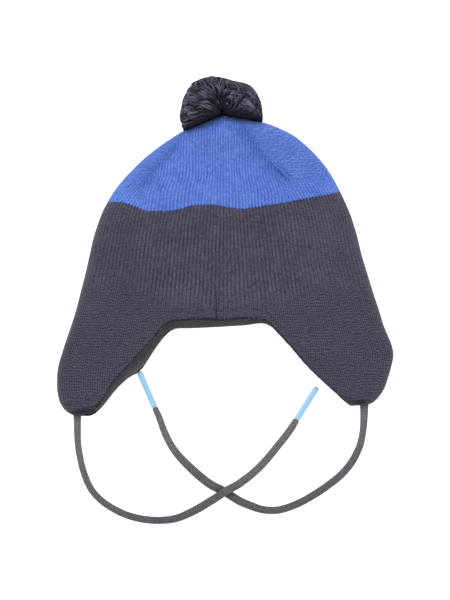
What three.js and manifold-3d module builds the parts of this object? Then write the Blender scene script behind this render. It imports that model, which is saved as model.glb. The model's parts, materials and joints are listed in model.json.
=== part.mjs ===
// A knitted winter hat with ear flaps, tie cords and a pompom, lying flat on its back.
// Millimetres, +Z up. The crown's tip points to +Y and the flaps to -Y.
import * as THREE from "three";
import { mergeVertices } from "three/addons/utils/BufferGeometryUtils.js";
import Module from "manifold-3d";

const wasm = await Module();
wasm.setup();

// Driving sizes of the hat as it lies, measured from the crown's tip and its centre line.
const LEFT_SPAN = 142; // centre line to the widest place of the left flap
const RIGHT_SPAN = 144.2;
const LEFT_LENGTH = 255.4; // crown's tip to the left flap's tip
const RIGHT_LENGTH = 246.1;
const UPPER_BROW = 174.8; // crown's tip to the brow hem of the layer on top
const LOWER_BROW = 179.3; // the same on the layer below, which shows past it
const BLUE_DEPTH = 77; // crown's tip to the colour change

// Driving sizes of its thickness.
const KNIT_WALL = 2.5;
const LINING_WALL = 1.7;
const CLEARANCE = 0.3; // between pieces that touch
const COLOUR_GAP = 0.5; // between the crown and the body at the colour change
const LINING_EASE = 0.6; // between the knit and the lining
const FOLD_RADIUS = 8.6; // the rolled side folds
const PUFF = 9.5; // how far the layer on top stands over its folds
const TIP_LIFT = 12; // how far the pompom holds the crown's tip up
const LIFT_RUN = 54; // length over which the crown comes down to the floor
const HEM_INSET = 1.4; // the lining stops this far inside the knit's edge

// Driving sizes of the pompom, the cords and their tips.
const POMPOM_WIDTH = 70;
const POMPOM_DEPTH = 66;
const POMPOM_HEIGHT = 52;
const POMPOM_REACH = 33; // crown's tip to the pompom's far side
const POMPOM_ASIDE = -1.4;
const LOCK_COUNT = 26;
const LOCK_WIDTH = 12;
const LOCK_LENGTH = 22;
const LOCK_RISE = 1.8; // how far a lock stands out of the ball
const LOCK_SPREAD = 1.55; // 2 would cover the whole ball
const CORD_DIAMETER = 6;
const END_DIAMETER = 4.5;
const END_LENGTH = 31;

// Fineness of the faceted surfaces.
const ROUND_STEPS = 48; // columns round the hat, half of them on each layer
const CROWN_ROWS = 9;
const BODY_ROWS = 11;
const BALL_SIDES = 20;
const BALL_RINGS = 12;
const LOCK_SIDES = 6;
const LOCK_RINGS = 5;
const CORD_STEPS = 32;
const CORD_SIDES = 8;
const DOME_STEPS = 4;

// Shapes of the even curves: rows lie closer near the tip and the hem, and the puff fades
// towards the side folds.
const TIP_EASE = 1.6;
const HEM_EASE = 1.35;
const PUFF_EASE = 1.3;

// Steps for slopes and normals, and the distance within which points are one.
const SLOPE_STEP = 0.5;
const TURN_STEP = 0.02;
const DEPTH_STEP = 0.25;
const SAME_POINT = 1e-4;

// Names the columns of a short table.
function columns(names, rows) {
  return Object.fromEntries(names.split(" ").map((name, k) => [name, rows.map((row) => row[k])]));
}

// Half outline seen from above: how far out the side fold lies, as a share of each span, at a
// share of each length down from the tip.
const OUTLINE = columns("down left right", [
  [0, 0, 0],
  [0.008, 0.04, 0.06],
  [0.02, 0.092, 0.19],
  [0.035, 0.16, 0.284],
  [0.055, 0.243, 0.363],
  [0.08, 0.317, 0.436],
  [0.11, 0.396, 0.501],
  [0.15, 0.486, 0.568],
  [0.2, 0.576, 0.633],
  [0.25, 0.651, 0.68],
  [0.32, 0.72, 0.735],
  [0.4, 0.773, 0.784],
  [0.48, 0.806, 0.818],
  [0.56, 0.839, 0.86],
  [0.64, 0.876, 0.902],
  [0.72, 0.924, 0.946],
  [0.8, 0.971, 0.994],
  [0.86, 0.994, 0.998],
  [0.9, 0.995, 0.978],
  [0.94, 0.983, 0.954],
  [0.97, 0.957, 0.918],
  [0.99, 0.915, 0.88],
  [1, 0.857, 0.83],
]);

// Hem of each layer: how far it has dropped from the brow to the flap's tip, at a share of the
// way from the centre line to the side fold.
const HEM = columns("across leftUpper leftLower rightUpper rightLower", [
  [0, 0, 0, 0, 0],
  [0.14, -0.01, 0.012, -0.02, -0.018],
  [0.24, -0.004, 0.018, -0.012, -0.044],
  [0.28, 0, 0.018, 0.02, -0.03],
  [0.32, 0.004, 0.026, 0.108, 0.03],
  [0.36, 0.035, 0.075, 0.203, 0.125],
  [0.4, 0.1, 0.168, 0.305, 0.235],
  [0.45, 0.225, 0.335, 0.431, 0.37],
  [0.5, 0.315, 0.494, 0.534, 0.48],
  [0.52, 0.357, 0.52, 0.57, 0.519],
  [0.55, 0.42, 0.553, 0.62, 0.573],
  [0.6, 0.51, 0.628, 0.698, 0.655],
  [0.66, 0.645, 0.742, 0.788, 0.753],
  [0.72, 0.8, 0.85, 0.866, 0.84],
  [0.78, 0.892, 0.924, 0.933, 0.915],
  [0.85, 0.95, 0.974, 0.975, 0.977],
  [0.92, 0.98, 0.995, 0.992, 0.998],
  [1, 1, 1, 1, 1],
]);

// Colour change of each layer as a share of the blue depth, from the left fold to the right one.
const STRIPE = columns("across upper lower", [
  [-1, 0.958, 0.958],
  [-0.88, 0.966, 0.985],
  [-0.75, 1.006, 1],
  [-0.62, 1.064, 1.01],
  [-0.48, 1.064, 1.015],
  [-0.35, 1.036, 1.015],
  [-0.27, 1.003, 1.015],
  [-0.1, 0.993, 1.01],
  [0.06, 1.024, 1],
  [0.15, 1.04, 0.995],
  [0.25, 1.022, 0.985],
  [0.38, 0.995, 0.97],
  [0.55, 0.958, 0.945],
  [0.75, 0.909, 0.905],
  [1, 0.852, 0.852],
]);

// Thickness along the hat: the fold's radius and the puff of the layer on top, as shares of
// their driving sizes, at a share of the left length down from the tip.
const THICKNESS = columns("down fold puff", [
  [0, 0.95, 0.2],
  [0.1, 1, 0.7],
  [0.25, 1, 1],
  [0.45, 1, 0.98],
  [0.6, 0.97, 0.75],
  [0.7, 0.9, 0.6],
  [0.8, 0.76, 0.6],
  [0.9, 0.71, 0.6],
  [1, 0.69, 0.6],
]);

// Soft hollows in the layer on top, at the ends of the crown's decreases and beside the middle.
// Places are shares of the left span and length, reach and depth are shares of the fold radius.
const DENTS = columns("across down reach depth", [
  [-0.43, 0.205, 2.2, 0.2],
  [0.31, 0.175, 1.9, 0.16],
  [-0.16, 0.6, 3.2, 0.1],
  [0.3, 0.36, 3, 0.09],
]);

// Place of the pompom's parting on its ball, from which the yarn fans out.
const PARTING = new THREE.Vector3(0.03, 0.4, 0.92).normalize();

// Routes of the cords, chosen by hand along each one's middle: x, y, z.
const LEFT_ROUTE = [
  [-123.9, -255.8, 6],
  [-123.9, -265.2, 5],
  [-123.8, -272.8, 3.8],
  [-123.4, -279.6, 3.1],
  [-122.5, -286.3, 3.1],
  [-119.6, -300, 3.1],
  [-114.6, -313.7, 3.1],
  [-110.1, -320.9, 3.1],
  [-103.3, -327.8, 3.1],
  [-93, -334.8, 3.1],
  [-79.2, -340.9, 3.1],
  [-62, -344.3, 3.1],
  [-44.9, -343.9, 3.1],
  [-36.3, -341.7, 3.4],
  [-27.8, -337.9, 4.2],
  [-19.3, -333.4, 5.7],
  [-10.7, -328.1, 7.7],
  [-4.8, -324.4, 8.9],
  [1.1, -320.2, 9.5],
  [6.8, -317.1, 8.9],
  [12, -314.3, 7.8],
  [21.7, -307.4, 5.3],
  [29.7, -300.5, 3.7],
  [36.3, -293.7, 3.1],
  [42.1, -286.8, 3.1],
  [47.4, -280.1, 3.1],
  [52.9, -273.3, 3.1],
  [57.9, -266.4, 3.1],
  [63.4, -257.4, 3.1],
];
const RIGHT_ROUTE = [
  [120.1, -246.7, 6],
  [120, -255.8, 5],
  [119.6, -264.2, 3.7],
  [118.3, -273.8, 3.1],
  [116.6, -280.7, 3.1],
  [114.1, -286.7, 3.1],
  [110.4, -293.7, 3.1],
  [105.2, -300.7, 3.1],
  [98.9, -307.2, 3.1],
  [90.4, -314, 3.1],
  [79.8, -321.3, 3.1],
  [68.7, -327.8, 3.1],
  [58.9, -332.3, 3.1],
  [48.5, -335.5, 3.1],
  [39.9, -336.1, 3.1],
  [31.3, -334.8, 3.1],
  [22.8, -331.8, 3.1],
  [14.3, -328.2, 3.1],
  [0.8, -319.8, 3.1],
  [-11, -313.7, 3.1],
  [-19.7, -307, 3.1],
  [-27.3, -300.2, 3.1],
  [-34.2, -293.4, 3.1],
  [-40.1, -286.6, 3.1],
  [-44.7, -279.7, 3.1],
  [-48.3, -272.7, 3.1],
  [-51.1, -266, 3.1],
  [-54.2, -257.3, 3.1],
  [-58.2, -248.4, 3.1],
];

// Far ends of the soft tips, on the line that each one lies along.
const LEFT_END = [80.1, -231.1, 2.4];
const RIGHT_END = [-70.8, -219, 2.4];

// Smooth curve through two columns of a table: a monotone cubic between its rows.
function curve(at, value) {
  const last = at.length - 1;
  const rise = at.slice(1).map((x, k) => (value[k + 1] - value[k]) / (x - at[k]));
  const slope = at.map((x, k) => {
    if (k === 0) return rise[0];
    if (k === last) return rise[last - 1];
    if (rise[k - 1] * rise[k] <= 0) return 0;
    return 2 / (1 / rise[k - 1] + 1 / rise[k]);
  });
  return (x) => {
    const k = Math.min(Math.max(at.findIndex((end) => end > x) - 1, 0), last - 1);
    const row = x >= at[last] ? last - 1 : k;
    const step = at[row + 1] - at[row];
    const t = (x - at[row]) / step;
    const ease = t * t * (3 - 2 * t);
    return (
      value[row] * (1 - ease) +
      value[row + 1] * ease +
      step * t * (1 - t) * (slope[row] * (1 - t) - slope[row + 1] * t)
    );
  };
}

const SIDES = {
  left: {
    span: LEFT_SPAN,
    length: LEFT_LENGTH,
    out: curve(OUTLINE.down, OUTLINE.left),
    upper: curve(HEM.across, HEM.leftUpper),
    lower: curve(HEM.across, HEM.leftLower),
  },
  right: {
    span: RIGHT_SPAN,
    length: RIGHT_LENGTH,
    out: curve(OUTLINE.down, OUTLINE.right),
    upper: curve(HEM.across, HEM.rightUpper),
    lower: curve(HEM.across, HEM.rightLower),
  },
};
const stripeUpper = curve(STRIPE.across, STRIPE.upper);
const stripeLower = curve(STRIPE.across, STRIPE.lower);
const foldShare = curve(THICKNESS.down, THICKNESS.fold);
const puffShare = curve(THICKNESS.down, THICKNESS.puff);

// Eased step from 0 to 1.
function ease(t) {
  const x = Math.min(Math.max(t, 0), 1);
  return x * x * (3 - 2 * x);
}

// The column at a turn round the hat: over the top from the left fold to the right one, and
// back below.
function column(turn) {
  const across = -Math.cos(turn);
  const side = across < 0 ? SIDES.left : SIDES.right;
  const onTop = Math.sin(turn) > 0;
  const share = Math.abs(across);
  const brow = onTop ? UPPER_BROW : LOWER_BROW;
  const drop = (onTop ? side.upper : side.lower)(share);
  return {
    across,
    side,
    share,
    level: Math.sin(turn),
    stripe: BLUE_DEPTH * (onTop ? stripeUpper : stripeLower)(across),
    hem: brow + (side.length - brow) * drop,
  };
}

// Point of the knit's outer face on a column, at a depth down from the tip. The cross-section is
// two layers joined by quarter rounds at the folds, with the upper one puffed up in the middle.
function facePoint(col, depth) {
  const { side, across, share, level } = col;
  const outAt = (down) => side.span * side.out(down / side.length);
  const half = outAt(depth);
  const slant = (outAt(depth + SLOPE_STEP) - outAt(depth - SLOPE_STEP)) / (2 * SLOPE_STEP);
  const inward = (half * (1 - share)) / Math.hypot(1, slant);
  const down = depth / LEFT_LENGTH;
  const fold = FOLD_RADIUS * foldShare(down);
  const roll = Math.sqrt(1 - (1 - Math.min(inward / fold, 1)) ** 2);
  const x = across * half;
  const y = -depth;
  const middle = TIP_LIFT * (1 - ease(depth / LIFT_RUN)) + fold;
  if (level <= 0) return new THREE.Vector3(x, y, middle - fold * roll);
  const puff = PUFF * puffShare(down) * (1 - share ** 2) ** PUFF_EASE;
  const dents = DENTS.across.reduce((sum, at, k) => {
    const away = Math.hypot(x - at * LEFT_SPAN, depth - DENTS.down[k] * LEFT_LENGTH);
    return sum + FOLD_RADIUS * DENTS.depth[k] * Math.exp(-((away / (FOLD_RADIUS * DENTS.reach[k])) ** 2));
  }, 0);
  return new THREE.Vector3(x, y, middle + (fold + puff * roll - dents) * roll);
}

// Ring of points at an offset under the knit's outer face: each column's depth comes from
// depthOf, and the offset runs along the face's normal.
function ring(depthOf, offset) {
  const points = [];
  for (let k = 0; k < ROUND_STEPS; k++) {
    const turn = (k * 2 * Math.PI) / ROUND_STEPS;
    points.push(offsetPoint(turn, depthOf, offset));
  }
  return points;
}

// One such point, at a turn round the hat.
function offsetPoint(turn, depthOf, offset) {
  const col = column(turn);
  const depth = depthOf(col);
  const point = facePoint(col, depth);
  const [before, after] = [column(turn - TURN_STEP), column(turn + TURN_STEP)];
  const round = facePoint(after, depth).sub(facePoint(before, depth));
  const above = facePoint(col, Math.max(depth - DEPTH_STEP, 0));
  const along = facePoint(col, depth + DEPTH_STEP).sub(above);
  const normal = along.cross(round).normalize();
  return point.addScaledVector(normal, -offset);
}

// Closed mesh from a stack of rings. A ring of one point is a pole. A looped stack joins its
// last ring to its first.
function stack(rings, looped) {
  const positions = [];
  const index = [];
  const starts = rings.map((points) => {
    const start = positions.length / 3;
    points.forEach((p) => positions.push(p.x, p.y, p.z));
    return start;
  });
  const pairs = looped ? rings.length : rings.length - 1;
  for (let i = 0; i < pairs; i++) {
    const j = (i + 1) % rings.length;
    for (let k = 0; k < ROUND_STEPS; k++) {
      const next = (k + 1) % ROUND_STEPS;
      const [a, b] = rings[i].length === 1 ? [starts[i], starts[i]] : [starts[i] + k, starts[i] + next];
      const [c, d] = rings[j].length === 1 ? [starts[j], starts[j]] : [starts[j] + k, starts[j] + next];
      if (a !== b) index.push(a, d, b);
      if (c !== d) index.push(a, c, d);
    }
  }
  const geometry = new THREE.BufferGeometry();
  geometry.setAttribute("position", new THREE.Float32BufferAttribute(positions, 3));
  geometry.setIndex(index);
  return geometry;
}

// Depths of the rows of the crown and of the body, whose colour change is one knitted line with
// a clearance between the two pieces.
function crownDepth(row, gap) {
  return (col) => (col.stripe - gap) * (row / CROWN_ROWS) ** TIP_EASE;
}

function bodyDepth(row, gap) {
  return (col) => {
    const top = col.stripe + gap;
    return top + (col.hem - HEM_INSET - top) * (1 - (1 - row / BODY_ROWS) ** HEM_EASE);
  };
}

// The pole of a skin at an offset under the crown's tip.
function pole(offset) {
  const tip = facePoint(column(0), 0);
  return [tip.setY(-offset)];
}

// Skins of the pieces, as rings from the tip to the hem.
function crownSkin(offset, gap) {
  const rows = [pole(offset)];
  for (let row = 1; row <= CROWN_ROWS; row++) rows.push(ring(crownDepth(row, gap), offset));
  return rows;
}

function bodySkin(offset, gap) {
  const rows = [];
  for (let row = 0; row <= BODY_ROWS; row++) rows.push(ring(bodyDepth(row, gap), offset));
  return rows;
}

function hemmedSkin(offset, gap) {
  return [...bodySkin(offset, gap), ring((col) => col.hem, offset)];
}

// The lining's tip is blunter than the crown's, so its skins leave out the crown's first ring.
function liningSkin(offset) {
  const [tip, , ...rest] = crownSkin(offset, 0);
  return [tip, ...rest, ...bodySkin(offset, 0).slice(1)];
}

const hat = new THREE.Group();
const FINISHES = {
  blueKnit: { color: 0x5b7acf, roughness: 0.9, metalness: 0 },
  charcoalKnit: { color: 0x4d4b5a, roughness: 0.92, metalness: 0 },
  fleece: { color: 0x4a4549, roughness: 0.95, metalness: 0 },
  yarn: { color: 0x444350, roughness: 0.95, metalness: 0 },
  cordKnit: { color: 0x69676b, roughness: 0.9, metalness: 0 },
  softTip: { color: 0x9fd0f5, roughness: 0.45, metalness: 0 },
};

function addPiece(name, geometry, finish) {
  const mesh = new THREE.Mesh(geometry, new THREE.MeshStandardMaterial(finish));
  mesh.name = name;
  hat.add(mesh);
  return mesh;
}

// The knitted shell in its two colours.
const seam = COLOUR_GAP / 2;
addPiece(
  "crown",
  stack([...crownSkin(0, seam), ...crownSkin(KNIT_WALL, seam).reverse()], false),
  FINISHES.blueKnit,
);
addPiece(
  "body",
  stack([...hemmedSkin(0, seam), ...hemmedSkin(KNIT_WALL, seam).reverse()], true),
  FINISHES.charcoalKnit,
);

// The lining, a second cap inside it.
const liningFace = KNIT_WALL + LINING_EASE;
addPiece(
  "lining",
  stack([...liningSkin(liningFace), ...liningSkin(liningFace + LINING_WALL).reverse()], false),
  FINISHES.fleece,
);

// Solid of a closed mesh.
function solid(geometry) {
  const bare = geometry.clone();
  bare.deleteAttribute("normal");
  bare.deleteAttribute("uv");
  const merged = mergeVertices(bare, SAME_POINT);
  return new wasm.Manifold(
    new wasm.Mesh({
      numProp: 3,
      vertProperties: new Float32Array(merged.attributes.position.array),
      triVerts: new Uint32Array(merged.index.array),
    }),
  );
}

// Geometry of a solid.
function surface(manifold) {
  const mesh = manifold.getMesh();
  const geometry = new THREE.BufferGeometry();
  geometry.setAttribute("position", new THREE.BufferAttribute(mesh.vertProperties, 3));
  geometry.setIndex(new THREE.BufferAttribute(mesh.triVerts, 1));
  return geometry;
}

// The space that the crown takes: its own shape, and all that lies over it.
function crownSpace() {
  const rows = crownSkin(-CLEARANCE, seam);
  const end = new THREE.Vector3(0, -BLUE_DEPTH, FOLD_RADIUS);
  const own = solid(stack([...rows, [end]], false));
  const fold = (turn) => rows.slice(1).map((points) => points[turn]);
  const outline = [...fold(0), ...fold(ROUND_STEPS / 2).reverse(), rows[0][0]];
  const flat = new THREE.Shape(outline.map((p) => new THREE.Vector2(p.x, p.y)));
  const above = new THREE.ExtrudeGeometry(flat, { depth: POMPOM_HEIGHT, bevelEnabled: false });
  above.translate(0, 0, TIP_LIFT + FOLD_RADIUS);
  return own.add(solid(above));
}

// The pompom: a ball with locks of yarn that fan out from its parting. The crown's tip is pressed
// into it, and it lies flat where it meets the floor.
function pompom() {
  const size = new THREE.Vector3(POMPOM_WIDTH, POMPOM_DEPTH, POMPOM_HEIGHT).multiplyScalar(0.5);
  const core = size.clone().addScalar(-LOCK_RISE);
  const centre = new THREE.Vector3(POMPOM_ASIDE, POMPOM_REACH - size.y, size.z - LOCK_RISE);
  const ball = new THREE.SphereGeometry(1, BALL_SIDES, BALL_RINGS).scale(core.x, core.y, core.z);
  const lock = new THREE.SphereGeometry(1, LOCK_SIDES, LOCK_RINGS);
  lock.scale(LOCK_WIDTH / 2, LOCK_LENGTH / 2, 2 * LOCK_RISE);
  const toParting = new THREE.Quaternion().setFromUnitVectors(new THREE.Vector3(0, 1, 0), PARTING);
  const golden = Math.PI * (3 - Math.sqrt(5));
  let whole = solid(ball);
  for (let k = 0; k < LOCK_COUNT; k++) {
    const open = Math.acos(1 - (LOCK_SPREAD * (k + 0.5)) / LOCK_COUNT);
    const out = new THREE.Vector3().setFromSphericalCoords(1, open, k * golden);
    const ahead = new THREE.Vector3().setFromSphericalCoords(1, open + TURN_STEP, k * golden);
    out.applyQuaternion(toParting).multiply(core);
    ahead.applyQuaternion(toParting).multiply(core).sub(out).normalize();
    const facing = out.clone().divide(core).divide(core).normalize();
    const aside = ahead.clone().cross(facing).normalize();
    const place = new THREE.Matrix4().makeBasis(aside, ahead.clone(), facing).setPosition(out);
    whole = whole.add(solid(lock.clone().applyMatrix4(place)));
  }
  const ground = new THREE.BoxGeometry(2 * POMPOM_WIDTH, 2 * POMPOM_DEPTH, POMPOM_HEIGHT);
  ground.translate(0, centre.y, -POMPOM_HEIGHT / 2);
  const room = solid(ground).add(crownSpace());
  const placed = solid(surface(whole).translate(centre.x, centre.y, centre.z));
  return surface(placed.subtract(room));
}
addPiece("pompom", pompom(), FINISHES.yarn);

// A tie cord: a round tube along its route.
function cord(route) {
  const section = new THREE.Shape();
  for (let k = 0; k < CORD_SIDES; k++) {
    const turn = ((k + 0.5) * 2 * Math.PI) / CORD_SIDES;
    const [x, y] = [(Math.cos(turn) * CORD_DIAMETER) / 2, (Math.sin(turn) * CORD_DIAMETER) / 2];
    if (k === 0) section.moveTo(x, y);
    else section.lineTo(x, y);
  }
  const path = new THREE.CatmullRomCurve3(route.map((p) => new THREE.Vector3(...p)));
  return new THREE.ExtrudeGeometry(section, {
    steps: CORD_STEPS,
    bevelEnabled: false,
    extrudePath: path,
  });
}

// A soft tip: a round rod with a domed end, from the cord's end towards a far point.
function softTip(name, route, far) {
  const radius = END_DIAMETER / 2;
  const profile = [new THREE.Vector2(0, 0), new THREE.Vector2(radius, 0)];
  for (let k = 0; k <= DOME_STEPS; k++) {
    const turn = (k * Math.PI) / 2 / DOME_STEPS;
    const height = END_LENGTH - radius + radius * Math.sin(turn);
    profile.push(new THREE.Vector2(radius * Math.cos(turn), height));
  }
  profile.at(-1).x = 0;
  const mesh = addPiece(name, new THREE.LatheGeometry(profile, CORD_SIDES), FINISHES.softTip);
  const start = new THREE.Vector3(...route.at(-1));
  const way = new THREE.Vector3(...far).sub(start).normalize();
  mesh.quaternion.setFromUnitVectors(new THREE.Vector3(0, 1, 0), way);
  mesh.position.copy(start).addScaledVector(way, CLEARANCE);
}
addPiece("tie_cord_left", cord(LEFT_ROUTE), FINISHES.cordKnit);
addPiece("tie_cord_right", cord(RIGHT_ROUTE), FINISHES.cordKnit);
softTip("cord_tip_left", LEFT_ROUTE, LEFT_END);
softTip("cord_tip_right", RIGHT_ROUTE, RIGHT_END);

// The origin: under the middle of the hat's own box, without the cords.
const box = new THREE.Box3();
for (const name of ["crown", "body", "lining", "pompom"]) {
  box.expandByObject(hat.getObjectByName(name));
}
const middle = box.getCenter(new THREE.Vector3());
hat.position.set(-middle.x, -middle.y, -box.min.z);

export default hat;
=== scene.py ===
import json
import math

import bpy
import numpy as np
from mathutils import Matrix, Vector

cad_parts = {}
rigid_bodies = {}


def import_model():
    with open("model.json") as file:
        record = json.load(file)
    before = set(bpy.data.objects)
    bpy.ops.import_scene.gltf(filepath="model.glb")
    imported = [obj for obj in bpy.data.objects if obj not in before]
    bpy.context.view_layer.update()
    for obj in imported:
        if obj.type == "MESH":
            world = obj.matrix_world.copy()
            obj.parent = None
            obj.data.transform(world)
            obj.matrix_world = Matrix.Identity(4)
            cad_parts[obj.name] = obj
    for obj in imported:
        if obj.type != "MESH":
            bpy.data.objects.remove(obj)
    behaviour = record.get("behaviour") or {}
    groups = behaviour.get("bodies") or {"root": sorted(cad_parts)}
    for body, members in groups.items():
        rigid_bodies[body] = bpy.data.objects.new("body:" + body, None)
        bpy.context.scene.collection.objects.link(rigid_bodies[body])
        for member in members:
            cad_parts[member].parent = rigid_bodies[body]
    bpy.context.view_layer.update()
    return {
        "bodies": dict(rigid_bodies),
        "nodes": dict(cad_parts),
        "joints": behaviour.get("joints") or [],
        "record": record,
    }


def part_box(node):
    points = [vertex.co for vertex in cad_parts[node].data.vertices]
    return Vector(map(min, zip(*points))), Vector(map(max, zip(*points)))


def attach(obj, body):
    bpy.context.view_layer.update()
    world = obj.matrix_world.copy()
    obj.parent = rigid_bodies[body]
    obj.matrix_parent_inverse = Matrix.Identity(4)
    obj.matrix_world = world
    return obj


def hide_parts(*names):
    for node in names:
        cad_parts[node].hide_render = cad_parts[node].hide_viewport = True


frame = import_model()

MM = 0.001

# Places. Lengths are in millimetres from the crown's tip, x to the right, y towards the pompom.
TIP = (-1.233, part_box("crown")[1][1] / MM, 0.0)  # the crown's tip in the row frame
LEFT_SPAN, RIGHT_SPAN = 142.0, 144.2  # centre line to the widest place of each flap
LEFT_LENGTH, RIGHT_LENGTH = 256.5, 247.2  # crown's tip to each flap's tip, with the yarn's fuzz
UPPER_BROW, LOWER_BROW = 174.8, 179.3  # crown's tip to the brow hem of each layer
BLUE_DEPTH = 77.0
KNIT_WALL, LINING_WALL, LINING_EASE = 2.5, 1.7, 0.6
FOLD_RADIUS, PUFF, TIP_LIFT, LIFT_RUN = 8.6, 9.5, 12.0, 54.0
CORD_DIAMETER, END_DIAMETER = 6.0, 5.2

# Knit gauge: width of a column of stitches, its height, and the steps that draw it.
WALE, COURSE = 3.25, 2.3
WALE_STEPS = 6
GAUGE_DEPTH = 125.0  # depth at which a column is exactly that wide
PHOTO_SCALE = 0.85  # millimetres a pixel at the hat
PHOTO_SIZE = (450, 600)
PHOTO_TIP = (223.0, 115.0)  # pixel of the crown's tip


def linear(hex_colour):
    """sRGB hex to linear RGBA: the sRGB curve undone for each channel."""
    channels = [int(hex_colour[i : i + 2], 16) / 255 for i in (1, 3, 5)]
    return [c / 12.92 if c <= 0.04045 else ((c + 0.055) / 1.055) ** 2.4 for c in channels] + [1.0]


# Camera and cords come first.
def make_camera():
    """Straight down on the hat, as the photograph looks, from a long way off."""
    away = 5000.0
    height = PHOTO_SIZE[1] * PHOTO_SCALE
    data = bpy.data.cameras.new("camera")
    data.sensor_width = 36.0
    data.lens = data.sensor_width * away / height
    data.clip_end = 10.0
    camera = bpy.data.objects.new("camera", data)
    x = (PHOTO_SIZE[0] / 2 - PHOTO_TIP[0]) * PHOTO_SCALE + TIP[0]
    y = (PHOTO_TIP[1] - PHOTO_SIZE[1] / 2) * PHOTO_SCALE + TIP[1] + 0.25
    mean_height = 10.0
    camera.location = (x * MM, y * MM, (away + mean_height) * MM)
    bpy.context.scene.collection.objects.link(camera)
    bpy.context.scene.camera = camera


make_camera()


def place(points):
    """Millimetres from the crown's tip to metres in the row frame."""
    return (np.asarray(points, float) + np.array(TIP)) * MM


def add_object(name, points, faces, material, uv=None):
    """A shown mesh from points in millimetres from the tip, its faces, and a UV pair for each corner."""
    mesh = bpy.data.meshes.new(name)
    mesh.from_pydata(place(points), [], faces)
    mesh.shade_smooth()
    if uv is not None:
        mesh.uv_layers.new(name="knit").data.foreach_set("uv", np.ravel(uv))
    mesh.materials.append(material)
    mesh.update()
    thing = bpy.data.objects.new(name, mesh)
    bpy.context.scene.collection.objects.link(thing)
    return thing


def give(thing, name, values):
    """A number at each of the piece's points, for its material."""
    every = np.zeros(len(thing.data.vertices))
    every[: values.size] = np.ravel(values)
    thing.data.attributes.new(name, "FLOAT", "POINT").data.foreach_set("value", every)


def unit(vectors):
    """Vectors scaled to length one, along the last axis."""
    length = np.linalg.norm(vectors, axis=-1, keepdims=True)
    return vectors / np.maximum(length, 1e-12)


# Materials. One function adds a node with its settings and links.
def node(tree, kind, values=(), **settings):
    """A node of that kind. values maps an input's name or number to a number, a colour or an output."""
    made = tree.nodes.new(kind)
    for name, value in settings.items():
        setattr(made, name, value)
    for key, value in dict(values).items():
        if isinstance(value, bpy.types.NodeSocket):
            tree.links.new(value, made.inputs[key])
        else:
            made.inputs[key].default_value = value
    return made


def maths(operation, *values):
    """Output of one Math node in the tree of its first value."""
    return node(values[0].id_data, "ShaderNodeMath", enumerate(values), operation=operation).outputs[0]


def new_material(name):
    """An empty material, its tree and its shader."""
    material = bpy.data.materials.new(name)
    material.use_nodes = True
    tree = material.node_tree
    return material, tree, tree.nodes["Principled BSDF"]


def ramp(factor, dark, light):
    """Colour between two hex colours."""
    values = {0: factor, 6: linear(dark), 7: linear(light)}
    return node(factor.id_data, "ShaderNodeMix", values, data_type="RGBA").outputs[2]


def shift(value, gain, offset):
    """value * gain + offset."""
    return maths("MULTIPLY_ADD", value, gain, offset)


def total(first, *rest):
    """The values added up in turn."""
    for value in rest:
        first = maths("ADD", first, value)
    return first


def product(first, *rest):
    """The values multiplied in turn."""
    for value in rest:
        first = maths("MULTIPLY", first, value)
    return first


def clamp(value):
    """The value held between 0 and 1."""
    return node(value.id_data, "ShaderNodeClamp", {0: value}).outputs[0]


def drawn_zigzag(value):
    """1 at each whole number and 0 halfway between two."""
    return maths("ABSOLUTE", shift(maths("FRACT", value), 2.0, -1.0))


def attribute(tree, name):
    """The number that give put at the piece's points."""
    return node(tree, "ShaderNodeAttribute", attribute_name=name).outputs["Fac"]


def own_place(tree):
    """The point in the piece's own coordinates, in metres."""
    return node(tree, "ShaderNodeTexCoord").outputs["Object"]


def noise_at(vector, period, detail=2.0):
    """Noise of about that period in the vector's own unit."""
    values = {"Vector": vector, "Scale": 1 / period, "Detail": detail}
    return node(vector.id_data, "ShaderNodeTexNoise", values).outputs[0]


def finish(shader, colour, height, bump, settings):
    """The shader gets a colour, a bump from that height, with its strength and its distance in
    millimetres, and the other settings."""
    tree = colour.id_data
    values = {"Height": height, "Strength": bump[0], "Distance": bump[1] * MM}
    tree.links.new(colour, shader.inputs["Base Color"])
    tree.links.new(node(tree, "ShaderNodeBump", values).outputs[0], shader.inputs["Normal"])
    for name, value in settings.items():
        shader.inputs[name].default_value = value


DASH_STRETCH = (1.0, 0.42, 1.0)  # the dashes between columns are that much longer than wide
DASH_PERIOD, UNEVEN_PERIOD = 0.95, 1.4  # in columns
PATCH_SIZE, CLOUD_SIZE, SPECK_SIZE = 13.0, 26.0, 0.8  # in millimetres


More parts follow.
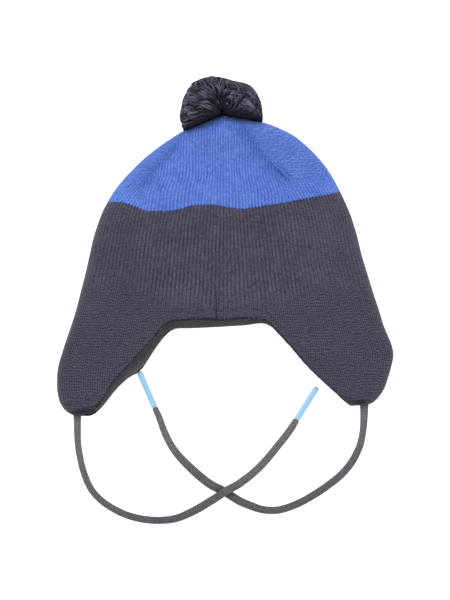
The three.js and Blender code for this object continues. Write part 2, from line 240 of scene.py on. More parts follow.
def knitted(name, dark, light, painted_shade_colour, relief, sheen):
    """Fine weft knit of brushed acrylic yarn, drawn on the piece's own UV map: u counts columns of
    stitches and v counts rows. A column is a rounded rib, and between columns painted shade darkens
    the yarn, in dashes of a few stitches. Where the piece's plain attribute is high, and in patches,
    the ribs give way to dots of painted shade in the gaps and in the middles of the columns, in a
    slightly uneven grid. Another attribute of the piece adds painted shade at folds, seams and edges.
    The yarn differs a little in tone everywhere."""
    material, tree, shader = new_material(name)
    uv = node(tree, "ShaderNodeUVMap", uv_map="knit").outputs[0]
    split = node(tree, "ShaderNodeSeparateXYZ", {0: uv})
    at = own_place(tree)
    off = drawn_zigzag(split.outputs[0])
    stretched = node(tree, "ShaderNodeVectorMath", {0: uv, 1: DASH_STRETCH}, operation="MULTIPLY").outputs[0]
    dash = clamp(shift(noise_at(stretched, DASH_PERIOD, 1.0), 3.0, -1.0))
    patches = clamp(shift(noise_at(at, PATCH_SIZE * MM), 4.5, -2.2))
    flat = maths("MAXIMUM", attribute(tree, "plain"), product(patches, 0.6))
    middle = product(shift(off, -1.0, 1.0), flat)
    line = maths("POWER", maths("MAXIMUM", off, middle), 2.8)
    gap = product(line, shift(dash, 0.7, 0.4), shift(flat, -0.6, 1.0))
    uneven = shift(noise_at(stretched, UNEVEN_PERIOD, 1.0), 2.4, -1.2)
    slant = product(total(off, middle), 0.5)
    leg = drawn_zigzag(total(split.outputs[1], slant, uneven))
    cell = node(tree, "ShaderNodeVectorMath", {0: uv}, operation="FLOOR").outputs[0]
    stitch = node(tree, "ShaderNodeTexWhiteNoise", {"Vector": cell}, noise_dimensions="2D").outputs[0]
    dot = product(line, maths("POWER", leg, 2.0), shift(flat, 1.3, 0.35))
    dot = product(dot, shift(stitch, 0.8, 0.6))
    speck = noise_at(at, SPECK_SIZE * MM, 1.0)
    cloud = noise_at(at, CLOUD_SIZE * MM)
    tone = total(shift(speck, 2.3, -0.65), shift(stitch, 0.3, -0.15))
    tone = total(tone, shift(cloud, 0.5, -0.25), product(flat, 0.13))
    yarn = ramp(clamp(tone), dark, light)
    # Painted shade: the gaps, the dots and the piece's darkening attribute mix the yarn towards the knit's
    # painted shade colour.
    shade = total(product(gap, 0.8), product(dot, 0.85), attribute(tree, "painted_shade_and_darkening"))
    shade = clamp(shade)
    mixed = node(tree, "ShaderNodeMix", {0: shade, 6: yarn, 7: linear(painted_shade_colour)}, data_type="RGBA")
    height = maths("SUBTRACT", product(speck, 0.9), shade)
    height = maths("SUBTRACT", height, product(leg, shift(flat, -0.2, 0.25)))
    finish(shader, mixed.outputs[2], height, (1.0, relief), {
        "Roughness": 0.92, "Specular IOR Level": 0.25, "Sheen Weight": sheen, "Sheen Roughness": 0.5,
    })
    return material


def brushed_fleece(name, dark, light):
    """Short napped polyester fleece: matt, with a fine irregular pile."""
    material, tree, shader = new_material(name)
    pile = noise_at(own_place(tree), 1.1 * MM, 4.0)
    patch = noise_at(own_place(tree), 9 * MM, 3.0)
    tone = total(shift(pile, 0.9, -0.2), shift(patch, 0.8, -0.3))
    finish(shader, ramp(clamp(tone), dark, light), pile, (1.0, 0.5), {
        "Roughness": 0.95, "Specular IOR Level": 0.2, "Sheen Weight": 0.15,
    })
    return material


def pompom_yarn(name, dark, light):
    """Loose acrylic pompom yarn: each strand has its own tone with painted shade, from the piece's shade
    attribute. A piece without it, as the core, takes nearly the darkest colour, as painted shade.
    """
    material, tree, shader = new_material(name)
    fibre = noise_at(own_place(tree), 0.7 * MM)
    tone = total(attribute(tree, "shade"), shift(fibre, 0.5, -0.25))
    finish(shader, ramp(clamp(tone), dark, light), fibre, (0.6, 0.2), {
        "Roughness": 0.85, "Specular IOR Level": 0.15, "Sheen Weight": 0.02,
    })
    return material


def moulded_tip(name, dark, light):
    """Soft moulded PVC: smooth, with a satin gloss and a faint moulding texture."""
    material, tree, shader = new_material(name)
    skin = noise_at(own_place(tree), 1.5 * MM)
    tree.links.new(shift(skin, 0.16, 0.34), shader.inputs["Roughness"])
    finish(shader, ramp(skin, dark, light), skin, (0.3, 0.05), {"IOR": 1.5})
    return material


# The third colour of each knit is its painted shade, for the gaps, dots, folds and seams.
BLUE_KNIT = knitted("royal_blue_acrylic_knit", "#3b5bae", "#698adb", "#2a4694", 0.35, 0.1)
CHARCOAL_KNIT = knitted("charcoal_acrylic_knit", "#2e2c3a", "#565465", "#1a1823", 0.35, 0.12)
CORD_KNIT = knitted("grey_cotton_cord_knit", "#57555a", "#858388", "#2b292e", 0.35, 0.04)
FLEECE = brushed_fleece("dark_polyester_fleece", "#49454a", "#6b656a")
YARN = pompom_yarn("charcoal_acrylic_yarn", "#100f19", "#7a7890")
SOFT_TIP = moulded_tip("pale_blue_soft_pvc", "#87b8da", "#97c5e4")

# Routes of the cords as the part's source gives them, in millimetres from the crown's tip.
LEFT_ROUTE = [
    (-123.9, -255.8, 6), (-123.9, -265.2, 5), (-123.8, -272.8, 3.8), (-123.4, -279.6, 3.1),
    (-122.5, -286.3, 3.1), (-119.6, -300, 3.1), (-114.6, -313.7, 3.1), (-110.1, -320.9, 3.1),
    (-103.3, -327.8, 3.1), (-93, -334.8, 3.1), (-79.2, -340.9, 3.1), (-62, -344.3, 3.1),
    (-44.9, -343.9, 3.1), (-36.3, -341.7, 3.4), (-27.8, -337.9, 4.2), (-19.3, -333.4, 5.7),
    (-10.7, -328.1, 7.7), (-4.8, -324.4, 8.9), (1.1, -320.2, 9.5), (6.8, -317.1, 8.9),
    (12, -314.3, 7.8), (21.7, -307.4, 5.3), (29.7, -300.5, 3.7), (36.3, -293.7, 3.1),
    (42.1, -286.8, 3.1), (47.4, -280.1, 3.1), (52.9, -273.3, 3.1), (57.9, -266.4, 3.1),
    (62.8, -258.6, 3.1),
]
RIGHT_ROUTE = [
    (120.1, -246.7, 6), (120, -255.8, 5), (119.6, -264.2, 3.7), (118.3, -273.8, 3.1),
    (116.6, -280.7, 3.1), (114.1, -286.7, 3.1), (110.4, -293.7, 3.1), (105.2, -300.7, 3.1),
    (98.9, -307.2, 3.1), (90.4, -314, 3.1), (79.8, -321.3, 3.1), (68.7, -327.8, 3.1),
    (58.9, -332.3, 3.1), (48.5, -335.5, 3.1), (39.9, -336.1, 3.1), (31.3, -334.8, 3.1),
    (22.8, -331.8, 3.1), (14.3, -328.2, 3.1), (0.8, -319.8, 3.1), (-11, -313.7, 3.1),
    (-19.7, -307, 3.1), (-27.3, -300.2, 3.1), (-34.2, -293.4, 3.1), (-40.1, -286.6, 3.1),
    (-44.7, -279.7, 3.1), (-48.3, -272.7, 3.1), (-51.1, -266, 3.1), (-54.2, -257.3, 3.1),
    (-58.2, -248.4, 3.1),
]
LEFT_END, RIGHT_END = (80.1, -231.1, 2.4), (-70.8, -219, 2.4)
CROSSING = (1.1, -320.2)


def eased(t):
    """Smooth step from 0 to 1."""
    x = np.clip(t, 0, 1)
    return x * x * (3 - 2 * x)


def bell(across, reach, along=0.0, run=1.0):
    """A soft spot: e to minus the sum of the squares of both distances over their reaches."""
    return np.exp(-((across / reach) ** 2 + (along / run) ** 2))


def zigzag(counts):
    """1 at each whole number and 0 halfway between two."""
    return np.abs(2 * (counts % 1) - 1)


def look_up(table, at):
    """Straight-line value between the rows of a table of two columns."""
    return np.interp(at, table[:, 0], table[:, 1])


def run_along(points, power=1.0):
    """Distance run at each point of a path, with each step raised to a power first."""
    steps = np.linalg.norm(np.diff(points, axis=0), axis=1)
    return np.concatenate([[0], np.cumsum(steps**power)])


def slide(at, low, high, start, end):
    """Straight-line value at a place between low and high."""
    return (high - at) / (high - low) * start + (at - low) / (high - low) * end


def smooth_route(points, step):
    """Points spaced evenly by step along a centripetal Catmull-Rom curve through the route."""
    p = np.array(points, float)
    p = np.vstack([2 * p[0] - p[1], p, 2 * p[-1] - p[-2]])
    knots = run_along(p, 0.5)
    fine = []
    t = np.linspace(0, 1, 40, endpoint=False)[:, None]
    for i in range(len(p) - 3):
        k1, k2 = knots[i + 1 : i + 3]
        at = k1 + (k2 - k1) * t
        first = [slide(at, *knots[i + j : i + j + 2], *p[i + j : i + j + 2]) for j in range(3)]
        second = [slide(at, knots[i + j], knots[i + j + 2], first[j], first[j + 1]) for j in range(2)]
        fine.append(slide(at, k1, k2, *second))
    fine = np.vstack([*fine, p[-2:-1]])
    run = run_along(fine)
    at = np.linspace(0, run[-1], int(round(run[-1] / step)) + 1)
    return np.stack([np.interp(at, run, fine[:, k]) for k in range(3)], axis=1)


def sweep(path, radii, sides):
    """Rings round a path: at each point, a circle of that point's radii, one for each side, square
    to the path, with the first side held level with the floor. Returns rings of points."""
    ahead = unit(np.gradient(path, axis=0))
    aside = unit(np.cross(ahead, [0.0, 0.0, 1.0]))
    up = np.cross(aside, ahead)
    turn = np.arange(sides) * 2 * math.pi / sides
    circle = np.cos(turn)[:, None] * aside[:, None] + np.sin(turn)[:, None] * up[:, None]
    return path[:, None] + radii[..., None] * circle


def tube_faces(rings, sides):
    """Faces between rings of a tube, and an n-sided cap at each end."""
    at = np.arange(rings)[:, None] * sides + np.arange(sides)
    after = np.roll(at, -1, axis=1)
    quads = np.stack([at[:-1], after[:-1], after[1:], at[1:]], axis=-1).reshape(-1, 4)
    return quads.tolist() + [at[0][::-1].tolist(), at[-1].tolist()]


def corner_uv(u, v, caps):
    """UV pair of each corner of the quads, whose u runs on past the seam, and zeros for the caps."""
    rings, sides = len(v), len(u) - 1
    at_ring, at_side = np.meshgrid(np.arange(rings - 1), np.arange(sides), indexing="ij")
    pick = [(at_ring, at_side), (at_ring, at_side + 1), (at_ring + 1, at_side + 1), (at_ring + 1, at_side)]
    pairs = np.stack([np.stack([u[s], v[r]], axis=-1) for r, s in pick], axis=2).reshape(-1, 2)
    return np.vstack([pairs, np.zeros((caps, 2))])


CORD_SIDES, CORD_WALES, CORD_STEP = 30, 10, 0.6
CORD_COURSE, CORD_FUZZ = 1.9, 0.28
GIRTH = np.array([
    (0, 1.1, 1.22), (0.03, 0.95, 1.04), (0.1, 0.86, 0.88), (0.2, 0.86, 1), (0.35, 0.92, 1),
    (0.5, 0.97, 0.98), (0.6, 1.1, 1.1), (0.75, 1.07, 1.17),
    (0.88, 1, 0.95), (0.97, 0.98, 0.86), (1, 0.82, 0.76),
])  # share of the way along, share of the diameter of the left and of the right cord
SEWN_IN, SEWN_THICKNESS, SEWN_RUN = 5.0, 1.9, 9.0  # the flattened end that is sewn into the flap
COLUMN_SWELL, STITCH_SWELL, MEAN_SWELL = 0.1, 0.1, 0.13
END_ROUNDING, END_RUN = 0.35, 1.6  # how far, and how far back, the cord's ends draw in
CROSSING_SHADOW_REACH = 5.0  # length of the painted shadow on the lower cord at the crossing
TIP_GAP, TIP_SIDES, TIP_BODY = 0.3, 32, 0.985  # gap to the cord, sides, share of the tip's radius


def make_cord(name, route, girth):
    """A round knitted cord: a tube along its route, whose radius swells into columns of stitches
    round it and into one stitch after another along it. Its first stretch lies flat inside the hem."""
    inside = np.array(route[0]) + [0, SEWN_IN, 0]
    path = smooth_route([inside, *route], CORD_STEP)
    run = run_along(path)
    column = zigzag(np.arange(CORD_SIDES) / CORD_SIDES * CORD_WALES)
    leg = (run[:, None] / CORD_COURSE + 0.5 * column[None]) % 1
    swell = COLUMN_SWELL * (1 - column**2)[None] + STITCH_SWELL * np.sin(math.pi * leg)
    swell = swell - MEAN_SWELL + CORD_FUZZ
    ends = np.minimum(run, run[-1] - run)
    round_off = 1 - END_ROUNDING * np.clip(1 - ends / END_RUN, 0, 1) ** 2
    share = np.interp(run / run[-1], GIRTH[:, 0], girth)
    radii = (CORD_DIAMETER / 2 * share[:, None] + swell) * round_off[:, None]
    points = sweep(path, radii, CORD_SIDES)
    rounded = eased((run - SEWN_IN + 1) / SEWN_RUN)
    flat = rounded + (1 - rounded) * SEWN_THICKNESS / CORD_DIAMETER
    middle = path[:, None, 2]
    points[..., 2] = np.maximum(middle + (points[..., 2] - middle) * flat[:, None], 0)
    faces = tube_faces(len(path), CORD_SIDES)
    u = np.arange(CORD_SIDES + 1) / CORD_SIDES * CORD_WALES
    uv = corner_uv(u, run / CORD_COURSE, 2 * CORD_SIDES)
    cord = add_object(name, points.reshape(-1, 3), faces, CORD_KNIT, uv)
    # Painted shade on the lower cord at the crossing, where the cord comes out of the hem and where it meets
    # its tip; the cord is also darker towards the middle of its run.
    to_crossing = np.hypot(path[:, 0] - CROSSING[0], path[:, 1] - CROSSING[1])
    pressed = path[:, 2] < CORD_DIAMETER
    dark = 0.3 * np.sin(math.pi * run / run[-1]) ** 1.5 + 0.45 * pressed * bell(to_crossing, CROSSING_SHADOW_REACH)
    dark = dark + 0.4 * np.exp(-(np.abs(run - SEWN_IN) / 1.6)) + 0.5 * bell(run - run[-1], 0.9)
    give(cord, "painted_shade_and_darkening", np.repeat(dark, CORD_SIDES))
    give(cord, "plain", np.full(points.shape[:2], 0.85))
    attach(cord, "root")
    return cord, place(path), run[-1] * MM


def make_tip(name, route, far, reach, node_name):
    """A soft tip: a profile of radii carried along a straight line, with a small collar where it
    grips the cord and a domed end."""
    start = np.array(route[-1], float)
    way = unit(np.array(far, float) - start)
    radius = END_DIAMETER / 2
    collar = np.array([[0.0, 0.84], [0.12, 0.97], [0.5, 1.03], [1.1, 1.03], [1.6, 1.0], [4.0, TIP_BODY]])
    body = np.stack([np.linspace(6.0, reach - radius, 14), np.full(14, TIP_BODY)], axis=1)
    angle = np.linspace(0, math.pi / 2, 12)[1:]
    dome = np.stack([reach - radius + radius * np.sin(angle), TIP_BODY * np.cos(angle)], axis=1)
    dome[-1, 1] = 0.02
    profile = np.vstack([collar, body, dome])
    path = start + way * (TIP_GAP + profile[:, :1])
    radii = np.repeat(radius * profile[:, 1:], TIP_SIDES, axis=1)
    points = sweep(path, radii, TIP_SIDES)
    tip = add_object(name, points.reshape(-1, 3), tube_faces(len(path), TIP_SIDES), SOFT_TIP)
    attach(tip, "root")
    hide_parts(node_name)
    return tip


def make_cords():
    """Both tie cords with their tips."""
    for side, route, far, girth, reach in (
        ("left", LEFT_ROUTE, LEFT_END, GIRTH[:, 1], 32.4),
        ("right", RIGHT_ROUTE, RIGHT_END, GIRTH[:, 2], 33.0),
    ):
        cord, path, length = make_cord(f"tie_cord_{side}_knit", route, girth)
        tip = make_tip(f"cord_tip_{side}_cap", route, far, reach, f"cord_tip_{side}")
        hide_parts(f"tie_cord_{side}")


make_cords()

# The hat's form, with the formulas of the part's source. The outline's and the hem's tables are
# trimmed more closely to the photograph.
OUTLINE = np.array([
    (0, 0, 0), (0.008, 0.04, 0.06), (0.02, 0.092, 0.19), (0.035, 0.16, 0.284), (0.055, 0.243, 0.363),
    (0.08, 0.317, 0.436), (0.11, 0.396, 0.501), (0.15, 0.486, 0.568), (0.2, 0.576, 0.633),
    (0.25, 0.651, 0.68), (0.32, 0.72, 0.735), (0.4, 0.773, 0.784), (0.48, 0.806, 0.818),
    (0.56, 0.839, 0.86), (0.64, 0.876, 0.902), (0.72, 0.924, 0.946), (0.8, 0.971, 0.997),
    (0.825, 0.983, 1.004), (0.86, 0.994, 0.995), (0.9, 0.995, 0.976), (0.94, 0.983, 0.952),
    (0.97, 0.957, 0.918), (0.99, 0.915, 0.88), (1, 0.857, 0.83),
])  # down, left, right
HEM = np.array([
    (0, 0, 0, 0, 0), (0.14, -0.01, 0.012, -0.02, -0.018), (0.24, -0.004, 0.018, -0.012, -0.044),
    (0.28, 0, 0.018, 0.02, -0.03), (0.32, 0.004, 0.026, 0.108, 0.03), (0.36, 0.03, 0.075, 0.203, 0.125),
    (0.4, 0.075, 0.168, 0.305, 0.235), (0.45, 0.195, 0.335, 0.431, 0.37), (0.5, 0.305, 0.497, 0.534, 0.48),
    (0.507, 0.32, 0.512, 0.547, 0.494), (0.52, 0.347, 0.521, 0.57, 0.519), (0.55, 0.42, 0.541, 0.62, 0.573),
    (0.6, 0.53, 0.616, 0.698, 0.655), (0.66, 0.645, 0.727, 0.786, 0.748), (0.72, 0.8, 0.842, 0.861, 0.828),
    (0.78, 0.9, 0.919, 0.928, 0.909), (0.85, 0.953, 0.972, 0.977, 0.977), (0.92, 0.982, 0.994, 0.994, 0.999),
    (1, 1, 1, 1, 1),
])  # across, left upper, left lower, right upper, right lower
STRIPE = np.array([
    (-1, 0.958, 0.958), (-0.88, 0.966, 0.985), (-0.75, 1.006, 1), (-0.62, 1.064, 1.01),
    (-0.48, 1.064, 1.015), (-0.35, 1.036, 1.015), (-0.27, 1.003, 1.015), (-0.1, 0.993, 1.01),
    (0.06, 1.024, 1), (0.15, 1.04, 0.995), (0.25, 1.022, 0.985), (0.38, 0.995, 0.97), (0.55, 0.958, 0.945),
    (0.75, 0.909, 0.905), (1, 0.852, 0.852),
])  # across, upper, lower
THICKNESS = np.array([
    (0, 0.95, 0.2), (0.1, 1, 0.7), (0.25, 1, 1), (0.45, 1, 0.98), (0.6, 0.97, 0.75), (0.7, 0.9, 0.6),
    (0.8, 0.76, 0.6), (0.9, 0.71, 0.6), (1, 0.69, 0.6),
])  # down, fold, puff
DENTS = np.array([
    (-0.43, 0.205, 2.2, 0.2), (0.31, 0.175, 1.9, 0.16), (-0.16, 0.6, 3.2, 0.1), (0.3, 0.36, 3, 0.09),
])  # across, down, reach, depth


def curve(at, value):
    """Monotone cubic through a table's rows: a Hermite cubic whose slope at a row is the harmonic
    mean of the rises beside it, or zero where they differ in sign."""
    rise = np.diff(value) / np.diff(at)
    slope = np.concatenate([rise[:1], np.zeros(len(rise) - 1), rise[-1:]])
    before, after = rise[:-1], rise[1:]
    same = before * after > 0
    slope[1:-1][same] = (2 * before * after)[same] / (before + after)[same]

    def follow(x):
        k = np.clip(np.searchsorted(at, x, side="right") - 1, 0, len(at) - 2)
        step = at[k + 1] - at[k]
        t = (x - at[k]) / step
        blend = t * t * (3 - 2 * t)
        bend = step * t * (1 - t) * (slope[k] * (1 - t) - slope[k + 1] * t)
        return value[k] * (1 - blend) + value[k + 1] * blend + bend

    return follow


OUT_LEFT, OUT_RIGHT = (curve(OUTLINE[:, 0], OUTLINE[:, k]) for k in (1, 2))
HEM_SHAPES = [curve(HEM[:, 0], HEM[:, k]) for k in (1, 2, 3, 4)]
STRIPE_UPPER, STRIPE_LOWER = (curve(STRIPE[:, 0], STRIPE[:, k]) for k in (1, 2))
FOLD_SHARE, PUFF_SHARE = (curve(THICKNESS[:, 0], THICKNESS[:, k]) for k in (1, 2))


SLOPE_STEP, TURN_STEP, DEPTH_STEP = 0.5, 0.02, 0.25  # steps for slopes and normals


def layer_at(turn):
    """Place across at a turn, from -1 to 1, and whether it lies left and in the layer on top."""
    across = -np.cos(turn)
    return across, across < 0, np.sin(turn) > 0


def half_width(left, depth):
    """Centre line to the side fold at a depth: the outline's share of that side's span."""
    return np.where(
        left, LEFT_SPAN * OUT_LEFT(depth / LEFT_LENGTH), RIGHT_SPAN * OUT_RIGHT(depth / RIGHT_LENGTH)
    )


def widening(left, depth, step):
    """Growth of the half width for each millimetre down."""
    return (half_width(left, depth + step) - half_width(left, depth - step)) / (2 * step)


def hem_depth(turn):
    """Depth of the hem at a turn round the hat: the brow, from there a share of the drop to the flap,
    the yarn's fuzz, and the stitches' uneven pull on the upper layer."""
    across, left, upper = layer_at(turn)
    shapes = [shape(np.abs(across)) for shape in HEM_SHAPES]
    drop = np.where(left, np.where(upper, shapes[0], shapes[1]), np.where(upper, shapes[2], shapes[3]))
    brow = np.where(upper, UPPER_BROW, LOWER_BROW)
    pull = 0.3 * waves(across * LEFT_SPAN, 0 * across, 23, 9, 3.5, 8) * upper
    fuzz = 0.5 * (1 - drop) + pull * eased(drop * 12) * (1 - drop)
    return brow + (np.where(left, LEFT_LENGTH, RIGHT_LENGTH) - brow) * drop + fuzz


def stripe_depth(turn):
    """Depth of the colour change at a turn round the hat."""
    across, _, upper = layer_at(turn)
    return BLUE_DEPTH * np.where(upper, STRIPE_UPPER(across), STRIPE_LOWER(across))


def face(turn, depth):
    """Point of the knit's outer face. Across, it lies at a share of the half width. Its height is the
    middle of the fold, plus or minus a quarter round at the side folds; the upper layer is puffed
    up in between by a power of one less the share squared, less a few soft dents."""
    across, left, upper = layer_at(turn)
    share = np.abs(across)
    half = half_width(left, depth)
    inward = half * (1 - share) / np.hypot(1, widening(left, depth, SLOPE_STEP))
    down = depth / LEFT_LENGTH
    fold = FOLD_RADIUS * FOLD_SHARE(down)
    roll = np.sqrt(1 - (1 - np.minimum(inward / fold, 1)) ** 2)
    x = across * half
    middle = TIP_LIFT * (1 - eased(depth / LIFT_RUN)) + fold
    puff = PUFF * PUFF_SHARE(down) * (1 - share**2) ** 1.3
    dents = 0
    for at, low, reach, deep in DENTS:
        away = np.hypot(x - at * LEFT_SPAN, depth - low * LEFT_LENGTH)
        dents = dents + FOLD_RADIUS * deep * bell(away, FOLD_RADIUS * reach)
    height = np.where(upper, middle + (fold + puff * roll - dents) * roll, middle - fold * roll)
    return np.stack(np.broadcast_arrays(x, -depth, height), axis=-1)


def outward(turn, depth):
    """Normal of the outer face, square to the slopes round the hat and down it."""
    around = face(turn + TURN_STEP, depth) - face(turn - TURN_STEP, depth)
    along = face(turn, depth + DEPTH_STEP) - face(turn, np.maximum(depth - DEPTH_STEP, 0))
    return unit(np.cross(along, around))


def beneath(turns, depth, offset):
    """Points that far under the knit's outer face."""
    return face(turns, depth) - outward(turns, depth) * offset


def waves(x, y, seed, longest, shortest, count):
    """Soft uneven swell between -1 and 1 or so: sine waves of random direction, length and phase."""
    random = np.random.default_rng(seed)
    summed = 0
    for _ in range(count):
        length = longest * (shortest / longest) ** random.random()
        heading, phase = random.random(2) * 2 * math.pi
        along = x * math.cos(heading) + y * math.sin(heading)
        summed = summed + np.sin(along * 2 * math.pi / length + phase)
    return summed / math.sqrt(count)


SIDE_SHARE = 0.88  # the layer below is drawn in full from here outwards
UNDER_STEPS = 26  # columns of each half of its hidden middle


def gauge_turns():
    """Turns of the mesh's columns, from the middle of the layer below round to it again. The length of
    the section at the gauge depth is counted in stitch columns, each drawn in a few steps, and the
    hidden middle of the layer below is drawn coarsely. Returns the turns and their stitch count."""
    fine = np.linspace(-math.pi / 2, 1.5 * math.pi, 20001)
    run = run_along(face(fine, np.full_like(fine, GAUGE_DEPTH))) / WALE
    hidden = (np.sin(fine) < 0) & (np.abs(np.cos(fine)) < SIDE_SHARE)
    left_end, right_end = np.flatnonzero(~hidden)[[0, -1]]
    first, last = math.ceil(run[left_end]), math.floor(run[right_end])
    counts = np.concatenate([
        np.linspace(0, first, UNDER_STEPS, endpoint=False),
        np.linspace(first, last, (last - first) * WALE_STEPS, endpoint=False),
        np.linspace(last, run[-1], UNDER_STEPS + 1),
    ])
    return np.interp(counts, run, fine), counts


TURNS, COUNTS = gauge_turns()
SHOWN = (np.sin(TURNS) > 0) | (np.abs(np.cos(TURNS)) > SIDE_SHARE)
STITCH_TOOTH = 1.1  # how far a stitch of one colour reaches into the other
CROWDING = np.array([(40, 0.1), (55, 0.1), (74, 0.08), (100, 0.04), (125, 0), (160, -0.03)])  # depth, share


def count_at(share, crowd):
    """Stitch count at a share of the width. In the middle, the columns lie closer together: the share
    is shifted by a sine wave."""
    moved = np.clip(share + crowd / (2 * math.pi) * np.sin(2 * math.pi * share), -1, 1)
    return np.interp(np.arccos(-moved), TURNS, COUNTS)


def body_counts(depth):
    """Stitch count on the body. Columns keep their share of the width, but in the middle of the upper
    layer they lie closer together the nearer they are to the crown."""
    across, _, upper = layer_at(TURNS)
    return np.where(upper, count_at(across, look_up(CROWDING, depth)), COUNTS)


def colour_change(turns, counts):
    """Depth of the colour change with its stitches' points: a tooth for each column."""
    return stripe_depth(turns) + STITCH_TOOTH * (zigzag(counts) - 0.5)


def wander(x, y):
    """How far a column of stitches strays sideways, in columns."""
    return 0.07 * waves(x, y, 31, 40, 14, 9)


def rib(counts):
    """Height of the rounded columns of stitches, from 0 in the gap to 1."""
    return 1 - zigzag(counts) ** 2.2


def skin_mesh(rows, uv_u, uv_v, pole):
    """Points, faces and corner UVs of a stack of rings, each row an array of points. The columns join
    up round the hat. A pole closes the first ring and the last one, or else the two join each other."""
    count, columns = len(rows), rows[0].shape[0]
    points = np.vstack(rows)
    at = np.arange(count)[:, None] * columns + np.arange(columns)
    pairs = [(i, i + 1) for i in range(count - 1)] + ([] if pole else [(count - 1, 0)])
    upper = at[[a for a, _ in pairs]]
    lower = at[[b for _, b in pairs]]
    quads = np.stack([upper, lower, np.roll(lower, -1, 1), np.roll(upper, -1, 1)], axis=-1).reshape(-1, 4)
    take = np.arange(columns)
    uv = []
    for ring, side in ((0, 0), (1, 0), (1, 1), (0, 1)):
        rows_at = [pair[ring] for pair in pairs]
        uv.append(np.stack([uv_u[rows_at][:, take + side], uv_v[rows_at][:, take + side]], axis=-1))
    uv = np.stack(uv, axis=2).reshape(-1, 2)
    faces = quads.tolist()
    if pole:
        top, bottom = len(points), len(points) + 1
        points = np.vstack([points, pole[0], pole[1]])
        last = at[-1]
        faces += np.stack([np.full(columns, top), at[0], np.roll(at[0], -1)], axis=-1).tolist()
        faces += np.stack([np.full(columns, bottom), np.roll(last, -1), last], axis=-1).tolist()
        uv = np.vstack([uv, np.zeros((6 * columns, 2))])
    return points, faces, uv


def wale_at(x, wide):
    """Stitch count of the column that meets the colour change, where the crown is wide, at x."""
    return count_at(np.clip(x / wide, -1, 1), CROWDING[2, 1])


# Lines where the crown's columns run together, as x at a depth, from the photograph.
DART_LEFT = np.array([
    (0, -22), (7, -28), (18.3, -35.7), (32.3, -43.4), (42.5, -53.6), (52.7, -62), (62, -69.7),
])
DART_RIGHT = np.array([
    (0, 8), (6, 14.5), (11.3, 18.7), (22.7, 25.8), (34, 34.3), (41, 40), (48.2, 48.5), (55, 57),
])
GORE = np.array([(0, 0.85), (46, 0.855), (53, 0.875), (60, 0.935), (66, 0.97), (78, 1)])  # depth, width
DART_SPREAD, PAST_SPREAD = 0.3, 22.0  # how softly columns meet along a dart and past its end
CREASES = [
    (49.5, 50, 7, 0.9, 0.6), (54.5, 49, 7, 0.8, 0.5), (46.5, 55, 5, 0.8, 0.45), (-56, 58, 9, 5, 0.16),
]  # x, depth, length, width, strength of each crease's painted shade
CREASE_TURN = 0.8  # how far the creases lean, as an angle


def crown_counts(turns, depth):
    """Stitch count on the crown. The middle gore's columns stand nearly upright and the side gores' keep
    their distance to the silhouette, square to it, and they meet along the darts. Past a dart's end
    the two run into each other. Also returns the distance past the dart and the depth of its end."""
    across, left, upper = layer_at(turns)
    change = stripe_depth(turns)
    half, wide = half_width(left, depth), half_width(left, change)
    x = across * half
    upright = wale_at(x / look_up(GORE, depth), wide)
    slant, slant_below = widening(left, depth, 1), widening(left, change, 1)
    inward = (half - np.abs(x)) * np.hypot(1, slant_below) / np.hypot(1, slant)
    beside = wale_at(np.where(left, -1, 1) * (wide - inward), wide)
    past = np.where(left, look_up(DART_LEFT, depth) - x, x - look_up(DART_RIGHT, depth))
    ends = np.where(left, DART_LEFT[-1, 0], DART_RIGHT[-1, 0])
    spread = DART_SPREAD + PAST_SPREAD * np.clip((depth - ends) / (change - ends), 0, 1)
    mix = eased(past / spread + 0.5)
    return np.where(upper, upright * (1 - mix) + beside * mix, COUNTS[None]), past, ends


def dart_groove(past, ends, depth):
    """Depth of the crease along a dart: a narrow trough that fades out past the dart's end."""
    fade = 1 - eased((depth - ends + 6) / 14)
    return 0.6 * bell(past, 6) * fade


def crown_shade(x, depth, past, ends, end):
    """How far painted shade darkens the crown's yarn: soft valleys beside the darts, a dotted line in
    each and a few short creases past the right one's end, and a painted shade along the colour change."""
    fade = 1 - eased((depth - ends + 4) / 16)
    dotted = np.clip(0.5 + 0.9 * waves(x, -depth, 13, 4, 1.8, 10), 0, 1)
    left = (0.16 + 0.3 * dotted) * bell(past - 1, 5) + 0.1 * bell(past - 11, 3)
    right = 0.22 * bell(past + 4.5, 7) + 0.42 * dotted * bell(past + 1, 3.5)
    shade = np.where(x < 0, left, right) * fade * eased(depth / 14)
    lean, stand = math.sin(CREASE_TURN), math.cos(CREASE_TURN)
    for at, low, long, wide, strength in CREASES:
        aside = (x - at) * stand - (depth - low) * lean
        along = (x - at) * lean + (depth - low) * stand
        shade = shade + strength * bell(aside, wide, along, long)
    return shade + 0.25 * bell(end[None] - depth, 0.7)


CROWN_ROWS, CROWN_EASE = 118, 1.35  # rows of the outer face, closer together near the tip
CROWN_INNER = np.array([1, 0.85, 0.65, 0.45, 0.3, 0.18, 0.09])  # rows of the inner face, as shares
CHANGE_GAP = 0.05  # half the gap between the crown and the body
CROWN_RELIEF, BODY_RELIEF = 0.24, 0.26  # height of the ribs


